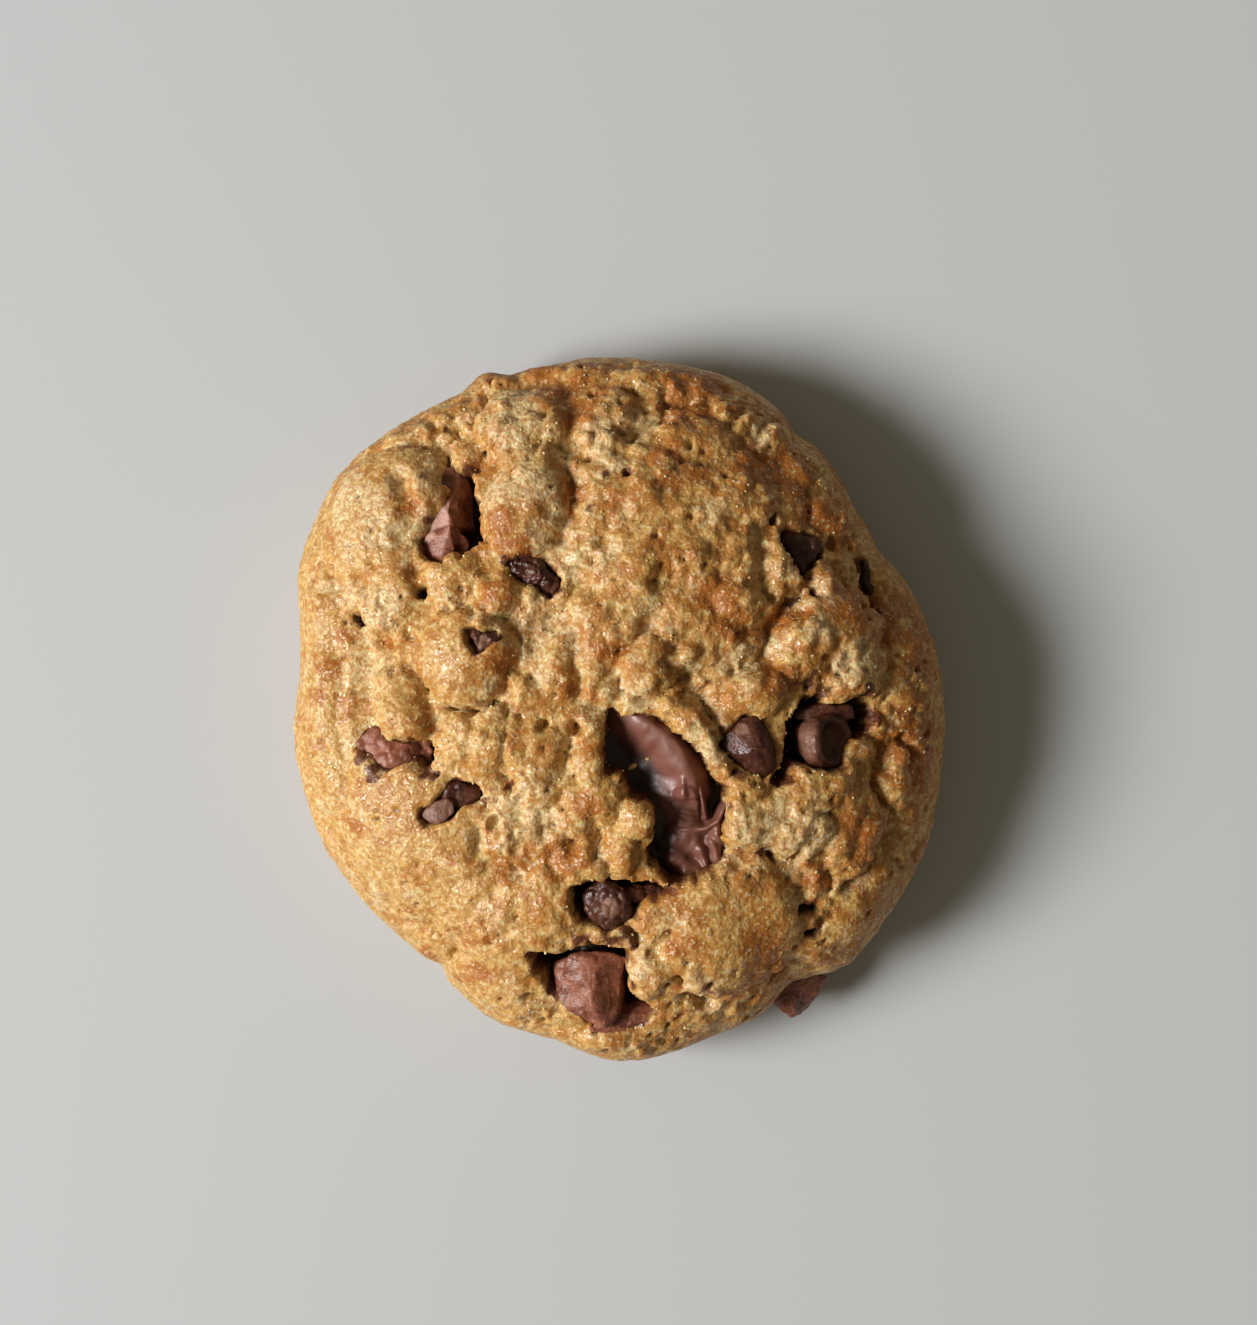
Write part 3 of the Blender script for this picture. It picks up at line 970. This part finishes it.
chocolate_piece(
    "chip_left", 0.12, sugary(0.06, 0.6), dark,
    [
        (-21.9, -11.8, -0.5, 0.25), (-21.3, -12.3, -0.4, 0.25), (-20.4, -12.4, -0.3, 0.25),
        (-19.1, -12, -0.2, 0.25), (-18.3, -11.1, -0.1, 0.25), (-18.4, -10.4, -0.1, 0.25),
        (-19.2, -10.1, -0.1, 0.25), (-20.4, -10.4, -0.3, 0.25), (-21.5, -11.1, -0.5, 0.25),
        (-19.8, -11.2, -3, 1.2),
    ],
    [
        (-19.2, -9.3, -0.3, 0.9), (-18, -8.6, -0.2, 0.9), (-16.4, -9.1, -0.5, 0.9),
        (-17.6, -10.2, -0.6, 0.7), (-18, -9.6, -2.5, 1.2),
    ],
    bloom=[(-20.3, -11.3, 1.5), (-21, -11.7, 1.1), (-19.2, -11, 1.1)],
)
chocolate_piece(
    "chip_upper", 0.12, sugary(0.28, 0.6), dark,
    [(-11.6, 15.9, -0.1, 1.1), (-9.4, 15.2, 0.5, 1.6), (-7.4, 13.8, 0.1, 1.2), (-9.4, 15.2, -2, 1.1)],
)
chocolate_piece(
    "chip_centre", 0.1, sugary(0.16, 0.7), dark,
    [(-16, 8.4, -0.2, 0.6), (-15.2, 7.1, -0.2, 0.8), (-13.6, 7.9, -0.2, 0.7), (-14.8, 7.8, -1.6, 0.9)],
    bloom=[(-15, 7.6, 0.9)],
)
chocolate_piece(
    "chip_upper_right", 0.12, sugary(0.22, 1.0), dark,
    [(18.6, 19.2, -0.5, 0.9), (20.6, 16, -0.4, 0.9), (22, 18.6, -0.5, 0.9), (20.2, 17.6, -3, 1.2)],
)
chocolate_piece(
    "chunk_far_right", 0.12, sugary(0.12, 0.9), dark,
    [(27.7, 16.6, -1.2, 0.5), (28.4, 13.6, -1.1, 0.6), (29.5, 11.2, -1, 0.5), (28, 14, -3, 0.8)],
)
chocolate_piece(
    "chunk_edge", 0.14, broken(0.16, 1.4), milk,
    [
        (20.1, -35.7, 6.6, 0.4), (23.8, -31.4, 7.4, 0.4), (17.6, -33.2, 8, 0.4), (20.5, -30.2, 10, 0.5),
        (22.8, -33.6, 5, 0.4), (20, -31.5, 3, 0.4), (23.4, -32.1, 3.4, 0.4), (19, -34.6, 3.4, 0.4),
    ],
    ground=0,
)
chocolate_piece(
    "chip_edge", 0.12, sugary(0.06, 0.9), dark,
    [
        (-3.6, -38.9, 5.6, 0.5), (-1.9, -39.7, 5.8, 0.4), (-0.2, -39.2, 5.6, 0.4), (-2, -38, 6.6, 0.6),
        (-2, -38.2, 2.8, 0.5), (-3.4, -38.4, 3.4, 0.4), (-0.4, -38.4, 3.4, 0.4), (-2, -37.2, 4, 0.5),
    ],
    ground=0,
)

# The drop on the right lies on its side: its hollow base faces up to the right, and a broken
# piece of chocolate lies behind it.  Its profile of radius and height runs from the base to
# the tip.  Its left flank has a bloom.
DROP_CELL = 0.12
DROP_PROFILE = [
    (0, -1), (1.4, -0.8), (2.2, -0.1), (2.6, 0.12), (3, -0.2), (3.15, -1.2), (3, -2.4),
    (2.5, -3.6), (1.6, -4.6), (0.8, -5), (0, -5.1),
]
BASE_MIDDLE = (24.0, -3.5)
BASE_RISE = 0.1
BASE_WAY = Vector((0.72, -0.06, 0.69))
FLANK_BLOOM = 0.8
FLANK_BLOOM_X, FLANK_BLOOM_Y = 20.6, -3.0
FLANK_BLOOM_EDGE = (1.6, 3.4)
FLANK_BLOOM_SLIMNESS = 1.6
BROKEN_BEHIND = [
    (20.2, -0.4, -0.7, 0.7), (23.2, 0.5, -0.5, 0.5), (25.6, 0.2, -1.2, 0.5), (25.9, -0.7, -1.5, 0.4),
    (23.5, -0.6, -4.5, 0.7),
]


def drop_shape(profile, middle, way):
    """A drop of chocolate: its profile spun about its own axis."""
    drop = bmesh.new()
    line = [drop.verts.new((radius, 0, height)) for radius, height in profile]
    edges = [drop.edges.new(pair) for pair in zip(line, line[1:])]
    bmesh.ops.spin(
        drop, geom=line + edges, axis=(0, 0, 1), cent=(0, 0, 0), angle=math.tau, steps=32, use_merge=True
    )
    bmesh.ops.remove_doubles(drop, verts=drop.verts, dist=0.001)
    bmesh.ops.recalc_face_normals(drop, faces=drop.faces)
    turn = way.to_track_quat("Z", "Y").to_matrix().to_4x4()
    bmesh.ops.transform(drop, matrix=Matrix.Translation(middle) @ turn, verts=drop.verts)
    return drop


base_height = skin_height(*BASE_MIDDLE) + BASE_RISE
right_chip = drop_shape(DROP_PROFILE, (*BASE_MIDDLE, base_height), BASE_WAY)
hull_of_balls(right_chip, [(x, y, base_height + rise, radius) for x, y, rise, radius in BROKEN_BEHIND])
right_mesh = even_skin(right_chip, DROP_CELL)
right_places = points_of(right_mesh)
across = (right_places[:, 0] - FLANK_BLOOM_X) * FLANK_BLOOM_SLIMNESS
away = np.hypot(across, right_places[:, 1] - FLANK_BLOOM_Y)
give_skin(right_mesh, "bloom", FLANK_BLOOM * (1 - smoothly(*FLANK_BLOOM_EDGE, away)))
roughen(right_mesh, sugary(0.08, 0.8))
show("chip_right_real", right_mesh, dark, "chip_right")


# ------------------------------------------------------------- the molten chunk
# A big chunk that melted as the cookie baked and set again in soft glossy folds.  It fills
# its pocket from edge to edge and reaches a little under the dough.

MOLTEN_CELL = 0.14
MOLTEN_REACH = 1.0
MOLTEN_TOP = -3.8
MOLTEN_BOTTOM = -9.0
molten_outline = POCKETS["chunk_molten"][1]
corners = np.array(molten_outline)
low_plan, high_plan = corners.min(axis=0) - MOLTEN_REACH, corners.max(axis=0) + MOLTEN_REACH
cells = np.ceil((high_plan - low_plan) / MOLTEN_CELL).astype(int)
slab = bmesh.new()
middle = (low_plan + high_plan) / 2
stretch = Matrix.Translation((*middle, 0)) @ Matrix.Diagonal((*(high_plan - low_plan) / 2, 1, 1))
bmesh.ops.create_grid(slab, x_segments=int(cells[0]), y_segments=int(cells[1]), size=1.0, matrix=stretch)
away = outline_distance(np.array([vert.co for vert in slab.verts]), molten_outline)
far = [vert for vert, distance in zip(slab.verts, away) if distance > MOLTEN_REACH]
bmesh.ops.delete(slab, geom=far, context="VERTS")
bottom, bottom_edge = run_on(slab, [edge for edge in slab.edges if edge.is_boundary])
bmesh.ops.contextual_create(slab, geom=bottom_edge)
for vert in bottom:
    vert.co.z = -1
bmesh.ops.recalc_face_normals(slab, faces=slab.faces)
molten_mesh = mesh_of(slab, "molten")

# Folds of the melted chocolate: half widths on the left and right of the way along the crest,
# then the x, y and height of points on the crest.  Neighbours join softly.
FOLD_JOIN = 3.0
MOLTEN_FOLDS = [
    (1.4, 3, [
        (1.6, -0.3, 2.5), (3.6, -1.5, 3.1), (5.3, -2.7, 3.3), (6.6, -4.3, 3.3), (7.7, -6, 3.2),
        (8.4, -7.6, 2.9), (8.6, -9, 2.4),
    ]),
    (1.6, 1.8, [(4.6, -6.8, 0.5), (5, -8.2, 1), (5.8, -9.4, 1.3), (6.4, -10.6, 1.3)]),
    (2, 2, [(6.2, -10, 1.4), (7.4, -11.6, 1.9), (7.9, -13, 1.8)]),
    (0.9, 0.9, [(7, -7.6, 2.6), (7.3, -9.2, 2.7)]),
    (0.4, 0.4, [(9.1, -8.6, 2.6), (9.4, -10.4, 2.5), (9.6, -12, 1.8)]),
    (0.6, 0.6, [
        (12.4, -9.6, 1.8), (11.5, -11.2, 2.4), (10.8, -12.4, 2.6), (9.8, -13.1, 2.3), (8.3, -13.7, 1.6),
    ]),
    (0.9, 0.9, [(10.8, -13, 2), (11.1, -14.4, 2.1)]),
    (1.6, 1.6, [(6.8, -14.4, 1.1), (8.4, -14.8, 1.4)]),
    (0.9, 0.9, [(10.4, -14.9, 2), (11, -16.6, 2)]),
    (0.8, 0.8, [(9, -15.6, 2), (9.8, -17.3, 1.8)]),
    (1.4, 1.4, [(6.4, -16.6, 1.4), (7.4, -17.6, 1.8), (8.6, -17.6, 1.6)]),
    (0.6, 0.6, [(7.4, -18.2, 1.7), (8.2, -18.5, 1.4)]),
]
places = points_of(molten_mesh)
top = places[:, 2] > -0.5
plan = places * np.array([1, 1, 0])
wavering = strayed(plan, (0.25, 1.6))


def fold_over(points, left_width, right_width, crest):
    """The height of one fold at points in plan: highest on its crest, falling off to each side."""
    height = np.zeros(len(points))
    for start, end in zip(crest, crest[1:]):
        start, run = np.array(start), np.array(end) - np.array(start)
        part = np.clip((points[:, :2] - start[:2]) @ run[:2] / (run[:2] @ run[:2]), 0, 1)
        offset = points[:, :2] - start[:2] - part[:, None] * run[:2]
        on_left = run[0] * offset[:, 1] > run[1] * offset[:, 0]
        away = np.hypot(offset[:, 0], offset[:, 1]) / np.where(on_left, left_width, right_width)
        height = np.maximum(height, (start[2] + part * run[2]) * np.exp(-(away**2)))
    return height


def in_oval(x, y, half_width, half_length):
    """1 in the middle of an upright oval in plan, 0 at its edge and below 0 outside."""
    return 1 - np.hypot((wavering[:, 0] - x) / half_width, (wavering[:, 1] - y) / half_length)


rise = np.ones(len(places))
for fold in MOLTEN_FOLDS:
    rise += np.exp(FOLD_JOIN * fold_over(wavering, *fold)) - 1
rise = np.log(rise) / FOLD_JOIN
fold_height = rise.copy()

# Fine stripes across the middle, a step at the foot of the big fold, and wrinkles that grow
# below it.  The stripes and the step each keep to an oval.
STRIPE_HEIGHT, STRIPE_SPACING, STRIPE_SLANT = 0.13, 0.55, 0.12
STRIPE_OVAL = (7.4, -12, 2.6, 2.6)
STEP_HEIGHT, STEP_Y = 0.5, -9.8
STEP_OVAL = (7.5, -9.4, 1.6, 1.4)
WRINKLE_SIZE, WRINKLE_HEIGHT, LEAST_WRINKLE = 1.1, 0.2, 0.02
WRINKLES_FROM, WRINKLES_FULL = -9, -12
along = wavering[:, 1] + STRIPE_SLANT * wavering[:, 0]
stripes = STRIPE_HEIGHT * np.sin(along * math.tau / STRIPE_SPACING)
above_step = smoothly(-0.15, 0.15, wavering[:, 1] - STEP_Y)
step = STEP_HEIGHT * above_step * smoothly(0, 0.5, in_oval(*STEP_OVAL))
wrinkled = LEAST_WRINKLE + WRINKLE_HEIGHT * smoothly(WRINKLES_FROM, WRINKLES_FULL, plan[:, 1])
rise += stripes * smoothly(0, 1, in_oval(*STRIPE_OVAL)) + step + wrinkled * noise_at(wavering, WRINKLE_SIZE)
ground = np.array([skin_height(x, y) if is_top else 0 for (x, y, _), is_top in zip(places, top)])
heights = np.where(top, ground + MOLTEN_TOP + rise, ground.max() + MOLTEN_BOTTOM)
place_points(molten_mesh, np.stack([places[:, 0], places[:, 1], heights], 1) * MM)
molten_mesh.shade_smooth()
give_skin(molten_mesh, "lit", smoothly(0.1, 1.6, fold_height))

# Dark where it lies low and milky brown on the folds.
MOLTEN_LOW = (0.030, 0.010, 0.007)
MOLTEN_HIGH = (0.22, 0.092, 0.066)
molten = Finish("molten_chocolate", {"Specular IOR Level": 0.7})
streak = molten.grain(3, detail=3, roughness=0.6, distortion=0.4)
fine_grain = molten.grain(0.6, detail=3, roughness=0.6)
on_folds = molten.ramp(molten.kept("lit") + (streak - 0.5) * 0.3, 0.0, 1.0)
molten.feed({
    "Base Color": molten.blend(on_folds, MOLTEN_LOW, MOLTEN_HIGH),
    "Roughness": 0.40 + 0.12 * molten.ramp(fine_grain, 0.4, 0.7),
    "Normal": molten.bump(fine_grain, 0.08, 0.3),
})
show("molten_folds", molten_mesh, molten, "chunk_molten")

# Crumbs of dough that fell on it: x, y, half length, half width and turn.
FALLEN_CRUMBS = [(1.5, -6.3, 0.65, 0.32, 30), (3.2, -5.4, 0.30, 0.20, 0)]
fallen = bmesh.new()
for x, y, half_length, half_width, turn in FALLEN_CRUMBS:
    lands_on = heights[np.hypot(places[:, 0] - x, places[:, 1] - y).argmin()]
    shape = Matrix.LocRotScale(
        Vector((x, y, lands_on + 0.5 * half_width)) * MM,
        Euler((0, 0, math.radians(turn))),
        Vector((half_length, half_width, half_width)) * MM,
    )
    bmesh.ops.create_icosphere(fallen, subdivisions=2, radius=1.0, matrix=shape)
fallen_mesh = mesh_of(fallen, "fallen_crumbs")
fallen_mesh.shade_smooth()
show("fallen_crumbs", fallen_mesh, crumb_finish, None)


# ------------------------------------------------------------- the table and the light
# A plain pale sheet under the cookie, soft light from a window on its left, and a camera
# straight above.

TABLE_RADIUS = 40.0
SHEET_COLOUR = (0.555, 0.565, 0.575)

table = bmesh.new()
bmesh.ops.create_circle(table, cap_ends=True, segments=96, radius=TABLE_RADIUS)
table_mesh = mesh_of(table, "table_sheet")
sheet = Finish("pale_sheet", {"Roughness": 0.9, "Specular IOR Level": 0.2, "Base Color": SHEET_COLOUR})
table_mesh.materials.append(sheet.material)
floor = bpy.data.objects.new("table_sheet", table_mesh)
bpy.context.scene.collection.objects.link(floor)


def add_light(name, kind, energy, location, **settings):
    """Adds a white light at a place, facing the cookie."""
    data = bpy.data.lights.new(name, kind)
    data.energy = energy
    for setting, value in settings.items():
        setattr(data, setting, value)
    lamp = bpy.data.objects.new(name, data)
    lamp.location = location
    lamp.rotation_euler = (-location).to_track_quat("-Z", "Y").to_euler()
    bpy.context.scene.collection.objects.link(lamp)


LIGHT_TURN = math.radians(190)
LIGHT_RISE = math.radians(39)
DAYLIGHT_STRENGTH = 2.0
DAYLIGHT_SOFTNESS = math.radians(24)
WINDOW_STRENGTH = 1.5
WINDOW_DISTANCE = 0.6
WINDOW_SIZE = 0.26
flat_way = math.cos(LIGHT_RISE)
toward_light = Vector((
    math.cos(LIGHT_TURN) * flat_way,
    math.sin(LIGHT_TURN) * flat_way,
    math.sin(LIGHT_RISE),
))
add_light("daylight", "SUN", DAYLIGHT_STRENGTH, toward_light, angle=DAYLIGHT_SOFTNESS)
window_power = WINDOW_STRENGTH * math.pi * WINDOW_DISTANCE**2
add_light("window", "AREA", window_power, toward_light * WINDOW_DISTANCE, shape="DISK", size=WINDOW_SIZE)

# The room gives a dim warm light, and is seen as pale grey.
ROOM_LIGHT = (0.152, 0.139, 0.106)
ROOM_SEEN = (0.55, 0.555, 0.555)
world = bpy.data.worlds.new("room")
world.use_nodes = True
room = Nodes(world.node_tree)
background = room.tree.nodes["Background"]
room.link(background.inputs["Color"], ROOM_LIGHT)
chosen = room.add("ShaderNodeMixShader", None, {
    0: room.add("ShaderNodeLightPath", output="Is Camera Ray"),
    1: Value(room, background.outputs[0]),
    2: room.add("ShaderNodeBackground", None, {"Color": ROOM_SEEN}),
})
room.link(room.tree.nodes["World Output"].inputs["Surface"], chosen)
bpy.context.scene.world = world

# The picture is SIGHT_LENGTH tall at SIGHT_HEIGHT above the table.
CAMERA_PLACE = Vector((0.00104, 0.00535, 0.400))
SIGHT_HEIGHT = 0.010
SIGHT_LENGTH = 0.1524
SENSOR_LENGTH = 36.0
camera_data = bpy.data.cameras.new("camera")
camera_data.sensor_width = SENSOR_LENGTH
camera_data.lens = SENSOR_LENGTH * (CAMERA_PLACE.z - SIGHT_HEIGHT) / SIGHT_LENGTH
camera_data.clip_start = 0.01
camera_data.clip_end = 100.0
camera = bpy.data.objects.new("camera", camera_data)
camera.location = CAMERA_PLACE
bpy.context.scene.collection.objects.link(camera)
bpy.context.scene.camera = camera
bpy.context.scene.view_settings.view_transform = "Standard"
bpy.context.scene.view_settings.look = "Medium High Contrast"
